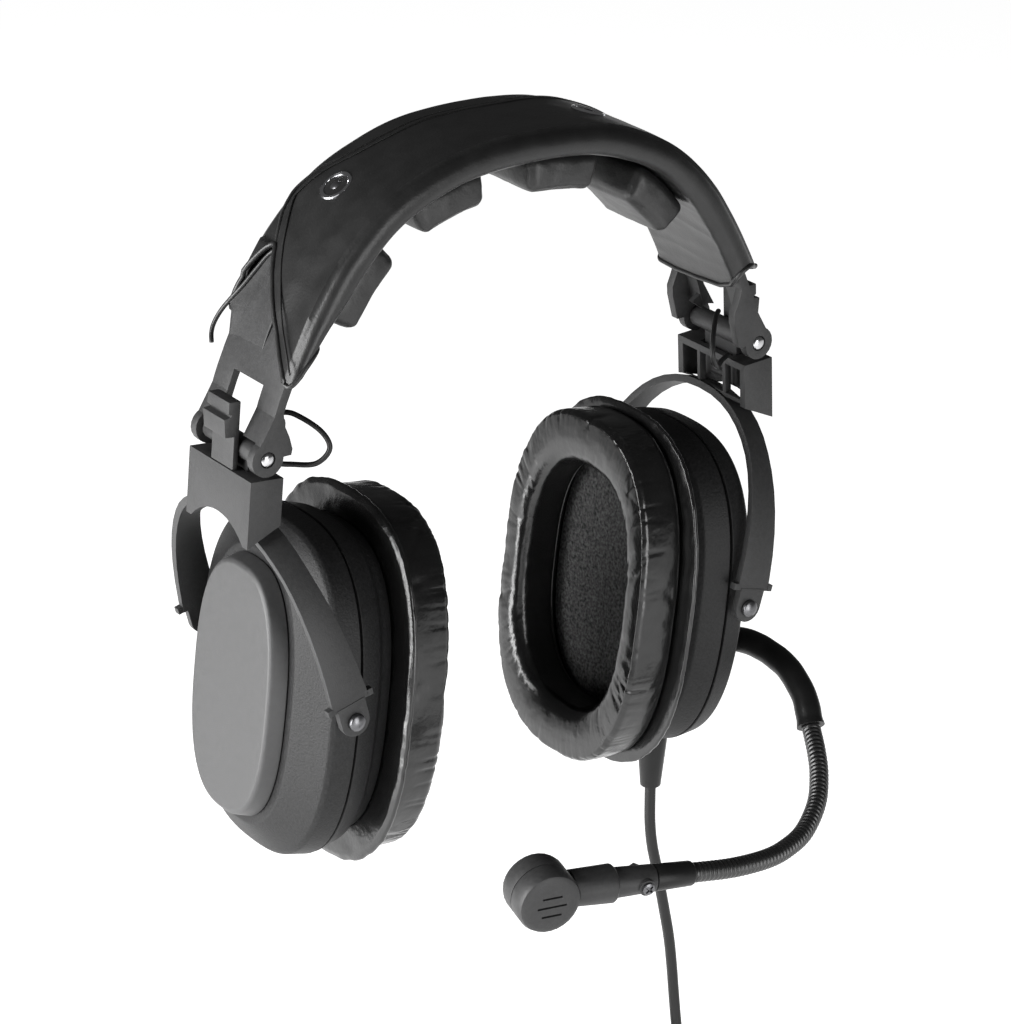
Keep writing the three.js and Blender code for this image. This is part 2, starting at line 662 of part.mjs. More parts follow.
const CORD = { diameter: 3.3, sides: 8 };
const glandTop = new THREE.Vector3(59.6, 0.4, -170.8);
const GLAND_LENGTH = 17.6;
const COIL = { x: 50.7, y: 0.4, z: -300, radius: 18.6, rows: 3, layers: 4 };
const cordRoute = [
  [59.6, 0.4, -188.7], [59.6, 0.2, -194], [59.8, 0, -201], [60.6, -0.3, -208], [62.2, -0.5, -215],
  [64, -0.5, -222.5], [66, -0.5, -231], [68.4, -0.4, -241.5], [69.9, -0.2, -251], [70.9, 0, -261],
  [71.4, 0.2, -270], [71.6, 0.3, -278], [71.7, 0.4, -286.4],
];
const tailRoute = [[72.7, 5, -312.4], [72.9, 5, -317], [73.1, 5, -323], [73.1, 5, -329]];
const PLUG = { x: 73.1, y: 5, z: -329.3, boot: 20, radius: 9.4, length: 44, mouth: 12 };

function buildCord() {
  const down = new THREE.Vector3(0, 0, -1);
  const relief = turned([[0, 0], [4.3, 0], [4.3, 3], [3.7, 9], [3, GLAND_LENGTH], [0, GLAND_LENGTH]], glandTop, down, 16);
  add('cord_gland', relief, rubber);
  add('cord_run', tube(smooth(cordRoute), CORD.diameter / 2, CORD.sides, 13), cable);

  const centre = new THREE.Vector3(COIL.x, COIL.y, COIL.z);
  const thick = (COIL.rows * CORD.diameter) / 2;
  const deep = (COIL.layers * CORD.diameter) / 2;
  const inner = COIL.radius - thick;
  const outer = COIL.radius + thick;
  const ring = [[inner, -deep], [outer, -deep], [outer, deep], [inner, deep], [inner, -deep]];
  add('cord_coil', turned(ring, centre, new THREE.Vector3(0, 1, 0), 40), cable);

  const [x0, x1] = [COIL.x - outer - GAP, COIL.x - inner + 1];
  const [y0, y1] = [COIL.y - deep - GAP, COIL.y + deep + GAP];
  const strap = cut(box(x0 - 1.2, x1 + 1.2, y0 - 1.2, y1 + 1.2, COIL.z - 4, COIL.z + 4),
    box(x0, x1, y0, y1, COIL.z - 5, COIL.z + 5));
  add('coil_tie', strap, rubber);

  add('cord_tail', tube(smooth(tailRoute), CORD.diameter / 2, CORD.sides, 4), cable);
}

// round four-contact cable connector at the far end
function buildPlug() {
  const down = new THREE.Vector3(0, 0, -1);
  let at = new THREE.Vector3(PLUG.x, PLUG.y, PLUG.z);
  const boot = [[0, 0], [2.8, 0], [3.4, 1.2], [4.4, 9], [6.8, 12], [6.8, PLUG.boot], [0, PLUG.boot]];
  add('plug_boot', turned(boot, at, down, 20), rubber);

  at = along(at, down, PLUG.boot + GAP);
  const { radius, length, mouth } = PLUG;
  const barrel = turned([
    [0, 0], [7.4, 0], [8.6, 1.4], [radius, 5], [radius, length], [8.1, length],
    [8.1, length - mouth], [0, length - mouth],
  ], at, down, 28);
  const latch = box(at.x - 3, at.x + 3, at.y - radius - 1.6, at.y - radius + 1, at.z - 32, at.z - 22);
  add('plug_shell', join(barrel, latch), steel);

  const top = along(at, down, length - mouth + GAP);
  const depth = mouth - 1.5;
  let insert = turned([[0, 0], [7.7, 0], [7.7, depth], [0, depth]], top, down, 28);
  for (let i = 0; i < 4; i++) {
    const a = (Math.PI / 2) * (i + 0.5);
    const hole = new THREE.CylinderGeometry(1.2, 1.2, 8, 10).rotateX(Math.PI / 2);
    hole.translate(top.x + 4.4 * Math.cos(a), top.y + 4.4 * Math.sin(a), top.z - depth);
    insert = cut(insert, hole);
  }
  add('plug_insert', insert, rubber);
}

buildBand();
buildBandEnds();
buildEyelets();
buildArm();
buildYoke();
buildCups();
buildWires();
buildBoom();
buildCord();
buildPlug();

export default group;
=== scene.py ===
"""Crew headset with a boom microphone: the looks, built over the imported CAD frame."""

import json
import math

import bmesh
import bpy
import numpy as np
from mathutils import Matrix, Vector, noise


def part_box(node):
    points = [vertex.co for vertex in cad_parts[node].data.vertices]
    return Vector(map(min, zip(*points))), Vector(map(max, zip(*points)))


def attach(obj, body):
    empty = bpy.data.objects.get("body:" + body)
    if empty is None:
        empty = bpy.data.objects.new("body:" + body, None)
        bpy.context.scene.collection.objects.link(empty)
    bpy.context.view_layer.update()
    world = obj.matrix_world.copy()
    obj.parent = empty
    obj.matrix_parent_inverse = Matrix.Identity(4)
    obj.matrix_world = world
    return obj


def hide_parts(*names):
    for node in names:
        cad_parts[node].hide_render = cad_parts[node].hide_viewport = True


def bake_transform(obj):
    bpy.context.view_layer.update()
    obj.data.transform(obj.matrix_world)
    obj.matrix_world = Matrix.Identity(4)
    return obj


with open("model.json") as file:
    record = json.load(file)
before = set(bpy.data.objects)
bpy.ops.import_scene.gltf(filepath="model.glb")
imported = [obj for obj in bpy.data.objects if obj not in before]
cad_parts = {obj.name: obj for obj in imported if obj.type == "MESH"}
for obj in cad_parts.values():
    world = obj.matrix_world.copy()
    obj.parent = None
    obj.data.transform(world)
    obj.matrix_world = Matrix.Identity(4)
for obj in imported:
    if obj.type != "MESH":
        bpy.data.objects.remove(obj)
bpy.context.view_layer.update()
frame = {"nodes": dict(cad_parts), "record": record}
NODES = frame["nodes"]

MM = 0.001
SIDES = {"left": 1, "right": -1}
SQUARENESS = 2.6  # superellipse power of the cup outlines
CUP = {"y": 5, "z": -124, "pivot_x": 64.4, "pivot_z": -120.5, "turn": 5.8}

# ------------------------------------------------------------------ camera and light

CAMERA = {
    "azimuth": -35.91,
    "elevation": 23.06,
    "roll": 1.31,
    "distance": 0.9446,
    "target": (0.0054, 0.0, -0.0903),
    "lens": 123.05,
}


def view_axes(azimuth, elevation):
    a = math.radians(azimuth)
    e = math.radians(elevation)
    right = Vector((math.cos(a), math.sin(a), 0))
    up = Vector((-math.sin(a) * math.sin(e), math.cos(a) * math.sin(e), math.cos(e)))
    back = Vector((math.sin(a) * math.cos(e), -math.cos(a) * math.cos(e), math.sin(e)))
    return right, up, back


def look(right, up, back, place):
    rotation = Matrix((right, up, back)).transposed().to_4x4()
    return Matrix.Translation(place) @ rotation


def make_camera():
    data = bpy.data.cameras.new("camera")
    data.lens = CAMERA["lens"]
    data.sensor_width = 36
    data.clip_end = 20
    camera = bpy.data.objects.new("camera", data)
    bpy.context.scene.collection.objects.link(camera)
    right, up, back = view_axes(CAMERA["azimuth"], CAMERA["elevation"])
    r = math.radians(CAMERA["roll"])
    rolled_right = right * math.cos(r) + up * math.sin(r)
    rolled_up = up * math.cos(r) - right * math.sin(r)
    place = Vector(CAMERA["target"]) + back * CAMERA["distance"]
    camera.matrix_world = look(rolled_right, rolled_up, back, place)
    bpy.context.scene.camera = camera


def area_light(name, azimuth, elevation, distance, size, power, aim=(0, 0, -0.1)):
    data = bpy.data.lights.new(name, "AREA")
    data.shape = "RECTANGLE"
    data.size, data.size_y = size
    data.energy = power
    light = bpy.data.objects.new(name, data)
    bpy.context.scene.collection.objects.link(light)
    right, up, back = view_axes(azimuth, elevation)
    light.matrix_world = look(right, up, back, Vector(aim) + back * distance)


def make_stage():
    """A pale table that glows softly, as a lit sweep does, under a dim sky and two big soft lights."""
    scene = bpy.context.scene
    scene.view_settings.view_transform = "Standard"
    world = bpy.data.worlds.new("studio")
    world.use_nodes = True
    background = world.node_tree.nodes["Background"]
    background.inputs["Color"].default_value = (1, 1, 1, 1)
    background.inputs["Strength"].default_value = 0.07
    scene.world = world
    area_light("key_left", -96, 6, 0.95, (0.6, 0.9), 30)
    area_light("front_fill", 2, -2, 1.1, (0.5, 0.9), 9)

    mesh = bpy.data.meshes.new("floor")
    floor_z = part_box("plug_shell")[0][2] - 4 * MM
    reach = 6.0
    corners = [(-reach, -reach), (reach, -reach), (reach, reach), (-reach, reach)]
    mesh.from_pydata([(x, y, floor_z) for x, y in corners], [], [(0, 1, 2, 3)])
    floor = bpy.data.objects.new("floor", mesh)
    scene.collection.objects.link(floor)
    paint = material("floor_paint", (0.9, 0.9, 0.9), 0.9)
    shader = paint.node_tree.nodes["Principled BSDF"]
    shader.inputs["Emission Color"].default_value = (1, 1, 1, 1)
    shader.inputs["Emission Strength"].default_value = 0.86
    floor.data.materials.append(paint)


# ------------------------------------------------------------------ materials


def material(name, color, roughness, metallic=0.0, grain=None, mottle=None, wrinkle=None, gloss=0.35):
    """A procedural finish.

    grain is (cells per mm, bump depth in mm), mottle is (cells per mm, share of the colour it
    varies by), wrinkle is like grain but broad, and gloss is the specular level.
    """
    mat = bpy.data.materials.new(name)
    mat.use_nodes = True
    nodes = mat.node_tree.nodes
    links = mat.node_tree.links
    shader = nodes["Principled BSDF"]
    shader.inputs["Base Color"].default_value = (*color, 1)
    shader.inputs["Roughness"].default_value = roughness
    shader.inputs["Metallic"].default_value = metallic
    shader.inputs["Specular IOR Level"].default_value = gloss
    where = nodes.new("ShaderNodeTexCoord")

    def noise(cells_per_mm, detail):
        node = nodes.new("ShaderNodeTexNoise")
        node.inputs["Scale"].default_value = cells_per_mm / MM
        node.inputs["Detail"].default_value = detail
        links.new(where.outputs["Object"], node.inputs["Vector"])
        return node

    if mottle:
        cells, share = mottle
        cloud = noise(cells, 3)
        ramp = nodes.new("ShaderNodeValToRGB")
        ramp.color_ramp.elements[0].position = 0.3
        ramp.color_ramp.elements[1].position = 0.7
        ramp.color_ramp.elements[0].color = (*[c * (1 - share) for c in color], 1)
        ramp.color_ramp.elements[1].color = (*[min(1, c * (1 + share)) for c in color], 1)
        links.new(cloud.outputs["Fac"], ramp.inputs["Fac"])
        links.new(ramp.outputs["Color"], shader.inputs["Base Color"])
        spread = nodes.new("ShaderNodeMapRange")
        spread.inputs["To Min"].default_value = roughness - 0.06
        spread.inputs["To Max"].default_value = min(1, roughness + 0.06)
        links.new(cloud.outputs["Fac"], spread.inputs["Value"])
        links.new(spread.outputs["Result"], shader.inputs["Roughness"])
    last = None
    for layer_of_bump in (wrinkle, grain):
        if not layer_of_bump:
            continue
        cells, depth = layer_of_bump
        bump = nodes.new("ShaderNodeBump")
        bump.inputs["Distance"].default_value = depth * MM
        bump.inputs["Strength"].default_value = 1.0
        links.new(noise(cells, 4).outputs["Fac"], bump.inputs["Height"])
        if last:
            links.new(last.outputs["Normal"], bump.inputs["Normal"])
        last = bump
    if last:
        links.new(last.outputs["Normal"], shader.inputs["Normal"])
    return mat


def make_materials():
    return {
        "moulded_plastic": material("moulded_plastic", (0.024, 0.024, 0.0243), 0.5,
                                    grain=(2.2, 0.05), mottle=(0.9, 0.15), gloss=0.3),
        "shell_plastic": material("shell_plastic", (0.009, 0.009, 0.0092), 0.52,
                                  grain=(1.8, 0.12), mottle=(1.4, 0.45), gloss=0.22),
        "cap_plastic": material("cap_plastic", (0.037, 0.037, 0.0375), 0.5,
                                grain=(3.5, 0.03), mottle=(0.6, 0.1), gloss=0.45),
        "leatherette": material("leatherette", (0.012, 0.012, 0.012), 0.36,
                                grain=(1.6, 0.05), mottle=(0.2, 0.15), wrinkle=(0.12, 0.18), gloss=0.32),
        "cushion_skin": material("cushion_skin", (0.006, 0.006, 0.006), 0.22,
                                 grain=(0.9, 0.03), mottle=(0.2, 0.15), wrinkle=(0.16, 0.3), gloss=0.5),
        "foam": material("foam", (0.03, 0.03, 0.03), 0.9,
                         grain=(1.6, 0.4), mottle=(1.2, 0.9), gloss=0.2),
        "pad_vinyl": material("pad_vinyl", (0.012, 0.012, 0.012), 0.45,
                              grain=(1.6, 0.04), mottle=(0.15, 0.12), wrinkle=(0.2, 0.25), gloss=0.4),
        "dark_metal": material("dark_metal", (0.12, 0.12, 0.125), 0.3, 0.9,
                               grain=(1.2, 0.01), mottle=(0.5, 0.15)),
        "soft_rubber": material("soft_rubber", (0.008, 0.008, 0.008), 0.4,
                                grain=(1.5, 0.03), mottle=(0.2, 0.1), gloss=0.2),
        "cord_jacket": material("cord_jacket", (0.008, 0.008, 0.008), 0.4,
                                grain=(1.2, 0.02), mottle=(0.2, 0.1), gloss=0.25),
        "gooseneck_skin": material("gooseneck_skin", (0.01, 0.01, 0.01), 0.34,
                                   grain=(2.0, 0.02), mottle=(0.3, 0.1), gloss=0.6),
        "chrome": material("chrome", (0.82, 0.82, 0.84), 0.12, 1.0, grain=(0.5, 0.004), mottle=(0.4, 0.03)),
        "bright_steel": material("bright_steel", (0.5, 0.5, 0.51), 0.22, 1.0,
                                 grain=(0.8, 0.006), mottle=(0.4, 0.06)),
        "steel": material("steel", (0.38, 0.38, 0.39), 0.3, 1.0, grain=(1.0, 0.01), mottle=(0.4, 0.1)),
        "connector_metal": material("connector_metal", (0.03, 0.03, 0.031), 0.3, 0.6,
                                    grain=(2.0, 0.01), mottle=(0.3, 0.1)),
    }


# ------------------------------------------------------------------ mesh helpers


def new_object(name, vertices, faces, slot, body, replaces=()):
    mesh = bpy.data.meshes.new(name)
    mesh.from_pydata([tuple(map(float, v)) for v in vertices], [], faces)
    obj = bpy.data.objects.new(name, mesh)
    bpy.context.scene.collection.objects.link(obj)
    dress(obj, slot, body, replaces)
    return obj


def face_outward(mesh):
    bm = bmesh.new()
    bm.from_mesh(mesh)
    bmesh.ops.recalc_face_normals(bm, faces=bm.faces)
    bm.to_mesh(mesh)
    bm.free()


def dress(obj, slot, body, replaces=()):
    """Gives a piece its finish, its body and the CAD nodes it stands for."""
    mesh = obj.data
    face_outward(mesh)
    mesh.shade_smooth()
    mesh.materials.clear()
    mesh.materials.append(MATERIALS[slot])
    if body:
        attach(obj, body)
    if replaces:
        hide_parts(*replaces)


def fillet(points, steps=4, closed=False):
    """Rounds the corners of an outline; each point's last value is its corner radius."""
    result = []
    count = len(points)
    for i, p in enumerate(points):
        here = Vector(p[:3])
        if not closed and i in (0, count - 1):
            result.append(here)
            continue
        before = Vector(points[i - 1][:3]) - here
        after = Vector(points[(i + 1) % count][:3]) - here
        cut = min(p[3], before.length * 0.48, after.length * 0.48)
        start = here + before.normalized() * cut
        end = here + after.normalized() * cut
        for s in range(steps + 1):
            t = s / steps
            result.append(start * (1 - t) ** 2 + here * 2 * t * (1 - t) + end * t ** 2)
    return result


def divided(points, step, closed=False):
    """The same outline with long stretches divided into steps."""
    result = []
    count = len(points)
    for i in range(count if closed else count - 1):
        a, b = points[i], points[(i + 1) % count]
        parts = max(1, int(math.ceil((b - a).length / step)))
        result += [a.lerp(b, s / parts) for s in range(parts)]
    if not closed:
        result.append(points[-1])
    return result


def outline(a, half_width, half_height):
    """Points of a cup's rounded outline at the angles a."""
    c = np.cos(a)
    s = np.sin(a)
    k = 2 / SQUARENESS
    y = half_width * np.sign(c) * np.abs(c) ** k
    z = half_height * np.sign(s) * np.abs(s) ** k
    return y, z


def sweep_faces(rows, cols, closed_rows, closed_cols=True):
    faces = []
    for r in range(rows if closed_rows else rows - 1):
        for c in range(cols if closed_cols else cols - 1):
            d = (c + 1) % cols
            n = (r + 1) % rows
            faces.append((r * cols + c, r * cols + d, n * cols + d, n * cols + c))
    return faces


def even_angles(half_width, half_height, sides):
    """Angles whose outline points lie evenly round the rim."""
    fine = np.linspace(0, 2 * math.pi, 7201)
    y, z = outline(fine, half_width, half_height)
    run = np.concatenate([[0], np.cumsum(np.hypot(np.diff(y), np.diff(z)))])
    return np.interp(np.linspace(0, run[-1], sides, endpoint=False), run, fine)


def ring_layer(profile, closed, sides=160, change=None):
    """A cup layer: a profile of (x, half width, half height) taken round the cup's outline."""
    angles = even_angles(30, 46, sides)
    rows = []
    for x, w, h in profile:
        y, z = outline(angles, w, h)
        rows.append(np.stack([np.full(sides, x), y, z], 1))
    grid = np.stack(rows)
    if change:
        grid = change(grid, angles)
    vertices = grid.reshape(-1, 3)
    count = len(profile)
    faces = sweep_faces(count, sides, closed)
    if not closed:
        for row in (0, count - 1):
            middle = len(vertices)
            vertices = np.concatenate([vertices, [(profile[row][0], 0, 0)]])
            start = row * sides
            faces += [(start + c, start + (c + 1) % sides, middle) for c in range(sides)]
    return vertices + np.array([0, CUP["y"], CUP["z"]]), faces


def on_cup(points, side):
    """Turns points given beside a square-hanging cup to where this side's cup hangs, in metres."""
    points = np.asarray(points, float)
    sign = SIDES[side]
    c = math.cos(math.radians(CUP["turn"]))
    s = math.sin(math.radians(CUP["turn"]))
    x = sign * (points[:, 0] - CUP["pivot_x"])
    z = points[:, 2] - CUP["pivot_z"]
    turned = [sign * CUP["pivot_x"] + c * x + s * z, points[:, 1], CUP["pivot_z"] - s * x + c * z]
    return np.stack(turned, 1) * MM


def refined(node, slot, body, bevel=0.3, angle=32):
    """A copy of a hard CAD piece with softened edges, standing for it."""
    source = NODES[node]
    mesh = source.data.copy()
    obj = bpy.data.objects.new(node + "_skin", mesh)
    bpy.context.scene.collection.objects.link(obj)
    bm = bmesh.new()
    bm.from_mesh(mesh)
    bmesh.ops.remove_doubles(bm, verts=bm.verts, dist=0.004 * MM)
    bmesh.ops.dissolve_limit(bm, angle_limit=math.radians(1.5), verts=bm.verts, edges=bm.edges)
    inside = [e for e in bm.edges if len(e.link_faces) == 2]
    sharp = [e for e in inside if e.calc_face_angle(0) > math.radians(angle)]
    if bevel and sharp:
        bmesh.ops.bevel(bm, geom=sharp, offset=bevel * MM, segments=2, profile=0.6,
                        affect="EDGES", clamp_overlap=True)
    bmesh.ops.triangulate(bm, faces=[f for f in bm.faces if len(f.verts) > 4])
    for face in bm.faces:
        face.smooth = True
    for edge in bm.edges:
        if len(edge.link_faces) == 2:
            edge.smooth = edge.calc_face_angle(0) < math.radians(angle)
    bm.to_mesh(mesh)
    bm.free()
    mesh.materials.clear()
    mesh.materials.append(MATERIALS[slot])
    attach(obj, body)
    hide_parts(node)
    return obj


def catmull(points, per_span):
    """A smooth line through the points."""
    pts = [Vector(p) for p in points]
    pts = [2 * pts[0] - pts[1]] + pts + [2 * pts[-1] - pts[-2]]
    line = []
    for i in range(1, len(pts) - 2):
        p0, p1, p2, p3 = pts[i - 1:i + 3]
        for s in range(per_span):
            t = s / per_span
            line.append(0.5 * ((2 * p1) + (p2 - p0) * t + (2 * p0 - 5 * p1 + 4 * p2 - p3) * t * t
                               + (3 * p1 - p0 - 3 * p2 + p3) * t ** 3))
    line.append(pts[-2])
    return line


def resample(line, step):
    """The same line with points an even step apart."""
    pts = np.array([tuple(p) for p in line])
    lengths = np.linalg.norm(np.diff(pts, axis=0), axis=1)
    run = np.concatenate([[0], np.cumsum(lengths)])
    count = max(2, int(round(run[-1] / step)) + 1)
    at = np.linspace(0, run[-1], count)
    return np.stack([np.interp(at, run, pts[:, k]) for k in range(3)], 1), at


def swept_tube(line, radius_at, sides=24, closed=False):
    """A tube along a line, with a radius for each point, either a loop or with closed ends."""
    pts, at = line
    if closed:
        tangents = np.roll(pts, -1, 0) - np.roll(pts, 1, 0)
    else:
        tangents = np.gradient(pts, axis=0)
    tangents /= np.linalg.norm(tangents, axis=1)[:, None]
    normal = Vector(tangents[0]).orthogonal().normalized()
    vertices = []
    for i, (p, t) in enumerate(zip(pts, tangents)):
        t = Vector(t)
        normal = (normal - t * normal.dot(t)).normalized()
        across = t.cross(normal)
        radius = radius_at(at[i])
        for s in range(sides):
            a = 2 * math.pi * s / sides
            vertices.append(Vector(p) + (normal * math.cos(a) + across * math.sin(a)) * radius)
    faces = sweep_faces(len(pts), sides, closed)
    for row in () if closed else (0, len(pts) - 1):
        middle = len(vertices)
        vertices.append(Vector(pts[row]))
        faces += [(row * sides + c, row * sides + (c + 1) % sides, middle) for c in range(sides)]
    return vertices, faces


# ------------------------------------------------------------------ cord

CORD = {"diameter": 3.3, "gland_top": (59.6, 0.4, -170.8)}
COIL = {"x": 50.7, "y": 0.4, "z": -300, "radius": 18.6, "rows": 3, "layers": 4}
CORD_RUN = [
    (59.6, 0.4, -186), (59.6, 0.2, -194), (59.8, 0, -201), (60.6, -0.3, -208), (62.2, -0.5, -215),
    (64, -0.5, -222.5), (66, -0.5, -231), (68.4, -0.4, -241.5), (69.9, -0.4, -251), (70.9, -0.8, -261),
    (71.4, -1.8, -270), (71.9, -3, -279), (72.3, -4.2, -288),
]
CORD_TAIL = [(72.9, 6.4, -313), (73, 5.4, -320), (73.1, 5, -327), (73.1, 5, -334)]


def coil_points():
    """The put-away turns: outer layer front to back, middle back to front, inner front to back."""
    d = CORD["diameter"]
    per_turn = 16
    turns = COIL["rows"] * COIL["layers"]
    points = []
    for i in range(turns * per_turn + 1):
        turn = min(turns - 1, i // per_turn)
        part = i / per_turn - turn
        shift = max(0, part - 0.75) / 0.25
        now = place_in_coil(turn)
        then = place_in_coil(min(turns - 1, turn + 1))
        blend = shift * shift * (3 - 2 * shift)
        row = now[0] + (then[0] - now[0]) * blend
        layer = now[1] + (then[1] - now[1]) * blend
        radius = COIL["radius"] + d * ((COIL["rows"] - 1) / 2 - row)
        y = COIL["y"] + d * (layer - (COIL["layers"] - 1) / 2)
        a = 2 * math.pi * part
        points.append((COIL["x"] + radius * math.cos(a), y, COIL["z"] - radius * math.sin(a)))
    return points


def place_in_coil(turn):
    row = turn // COIL["layers"]
    layer = turn % COIL["layers"]
    return row, layer if row % 2 == 0 else COIL["layers"] - 1 - layer


def crossing_points():
    """The last turn climbs over the back of the coil to its rim."""
    d = CORD["diameter"]
    inner = COIL["radius"] - d
    back = COIL["y"] + d * (COIL["layers"] / 2 + 0.5)
    points = []
    steps = 12
    for i in range(1, steps):
        f = i / steps
        a = 2 * math.pi * (0.08 + 0.92 * f)
        radius = inner + (COIL["radius"] + 1.15 * d - inner) * f
        points.append((COIL["x"] + radius * math.cos(a), back, COIL["z"] - radius * math.sin(a)))
    return points


def make_cord():
    points = CORD_RUN + coil_points() + crossing_points() + CORD_TAIL
    points = [Vector(p) * MM for p in points]
    curve = bpy.data.curves.new("cord", "CURVE")
    curve.dimensions = "3D"
    curve.bevel_depth = CORD["diameter"] / 2 * MM
    curve.bevel_resolution = 5
    curve.resolution_u = 4
    curve.use_fill_caps = True
    spline = curve.splines.new("BEZIER")
    spline.bezier_points.add(len(points) - 1)
    for point, at in zip(spline.bezier_points, points):
        point.co = at
        point.handle_left_type = "AUTO"
        point.handle_right_type = "AUTO"
    cord = bpy.data.objects.new("cord", curve)
    bpy.context.scene.collection.objects.link(cord)
    cord.data.materials.append(MATERIALS["cord_jacket"])
    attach(cord, "cup_left")
    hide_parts("cord_run", "cord_coil", "cord_tail")
    pieces = [
        refined("cord_gland", "soft_rubber", "cup_left", 0.2),
        refined("coil_tie", "soft_rubber", "cup_left", 0.3),
        refined("plug_boot", "soft_rubber", "cup_left", 0.2),
        refined("plug_shell", "connector_metal", "cup_left", 0.25),
        refined("plug_insert", "soft_rubber", "cup_left", 0.15),
    ]


# ------------------------------------------------------------------ ear cups


def pleats(grid, angles, profile_run, folds):
    """Sinks narrow folds into a grid; each is (angle, slant, width, depth, from, to) along the profile."""
    radius = np.hypot(grid[:, :, 1], grid[:, :, 2])
    total = np.zeros(grid.shape[:2])
    for at, slant, width, depth, start, end in folds:
        along = (profile_run[:, None] - start) / (end - start)
        apart = (angles[None, :] - at - slant * along + math.pi) % (2 * math.pi) - math.pi
        fade = np.clip(along * 4, 0, 1) * np.clip((1 - along) * 1.6, 0, 1)
        total += depth * fade * np.exp(-(apart * radius / width) ** 2)
    return total


CUSHION_SEED = {"left": 11, "right": 29}
CUSHION_BACK = 44.4
CUSHION_CORE = {"x": 38.0, "radius": 27.4}  # the middle of the stuffing, which the folds sink towards
# (x, half width, half height, corner radius) round the cushion's section
CUSHION_SECTION = [
    (CUSHION_BACK, 23, 35.2, 0.3), (CUSHION_BACK, 31.4, 49, 0.6), (43, 32, 49.8, 1.6),
    (38, 32.1, 49.9, 4), (32.6, 32, 49.8, 0.8), (31.3, 31.2, 48.8, 0.5), (30.9, 28.8, 45.6, 3),
    (31, 26, 41.2, 4), (31.9, 24, 37.4, 2.5), (34, 22.7, 35, 2), (42.8, 22.4, 34.6, 2),
]


def make_cushion(side):
    body = f"cup_{side}"
    rng = np.random.default_rng(CUSHION_SEED[side])
    profile = divided(fillet(CUSHION_SECTION, 5, closed=True), 1.1, closed=True)
    grid_run = np.array([(b - a).length for a, b in zip(profile, profile[1:])])
    run = np.concatenate([[0], np.cumsum(grid_run)])
    xs = np.array([p[0] for p in profile])
    halves = np.array([p[1] for p in profile])
    lip = run[int(np.argmin(np.where(halves < 24.5, xs, 99)))]
    crease = run[int(np.argmax(halves > 31.9)) + 1]
    face_edge = run[int(np.argmin(np.abs(run - (crease + 14))))]
    folds = []
    # gathers over the inner lip
    for _ in range(150):
        length = rng.uniform(2.5, 11)
        start = lip - length + rng.uniform(1, 3.5)
        folds.append((rng.uniform(0, 2 * math.pi), rng.normal(0, 0.05), rng.uniform(0.6, 1.5),
                      rng.uniform(0.03, 0.14), start, lip + rng.uniform(3, 8)))
    # fine pleats across the face
    for _ in range(120):
        start = crease + rng.uniform(0.5, 4)
        folds.append((rng.uniform(0, 2 * math.pi), rng.normal(0, 0.03), rng.uniform(0.3, 0.55),
                      rng.uniform(0.06, 0.2), start, lip + rng.uniform(-3, 2)))
    # slanting creases on the wall and the face's outer part
    for _ in range(26):
        start = rng.uniform(0, crease + 6)
        folds.append((rng.uniform(0, 2 * math.pi), rng.normal(0, 0.25), rng.uniform(0.8, 2.4),
                      rng.uniform(0.15, 0.45), start + 9, start + 9 + rng.uniform(6, 14)))
    # tucks where the face begins
    for _ in range(34):
        folds.append((rng.uniform(0, 2 * math.pi), rng.normal(0, 0.06), rng.uniform(0.5, 1.4),
                      rng.uniform(0.1, 0.3), face_edge - 4, face_edge + rng.uniform(3, 10)))

    def shape(grid, angles):
        sunk = pleats(grid, angles, run, folds)
        for r in range(grid.shape[0]):
            for c in range(grid.shape[1]):
                x, y, z = grid[r, c]
                swell = noise.noise(Vector((x * 0.09, y * 0.05, z * 0.05 + SIDES[side] * 9)))
                sunk[r, c] -= 0.3 * swell + 0.12 * noise.noise(Vector((x, y, z)) * 0.22)
        away = np.hypot(grid[:, :, 1], grid[:, :, 2])
        share = CUSHION_CORE["radius"] / np.maximum(away, 1)
        heart = grid * share[:, :, None]
        heart[:, :, 0] = CUSHION_CORE["x"]
        inward = heart - grid
        inward /= np.maximum(np.linalg.norm(inward, axis=2), 0.5)[:, :, None]
        off_back = np.clip((CUSHION_BACK - grid[:, :, 0]) / 2, 0, 1)
        return grid + inward * (sunk * off_back)[:, :, None]

    vertices, faces = ring_layer(profile, True, 640, shape)
    cushion = new_object(f"cushion_{side}", on_cup(vertices, side), faces, "cushion_skin", body,
                         [f"ear_cushion_{side}"])


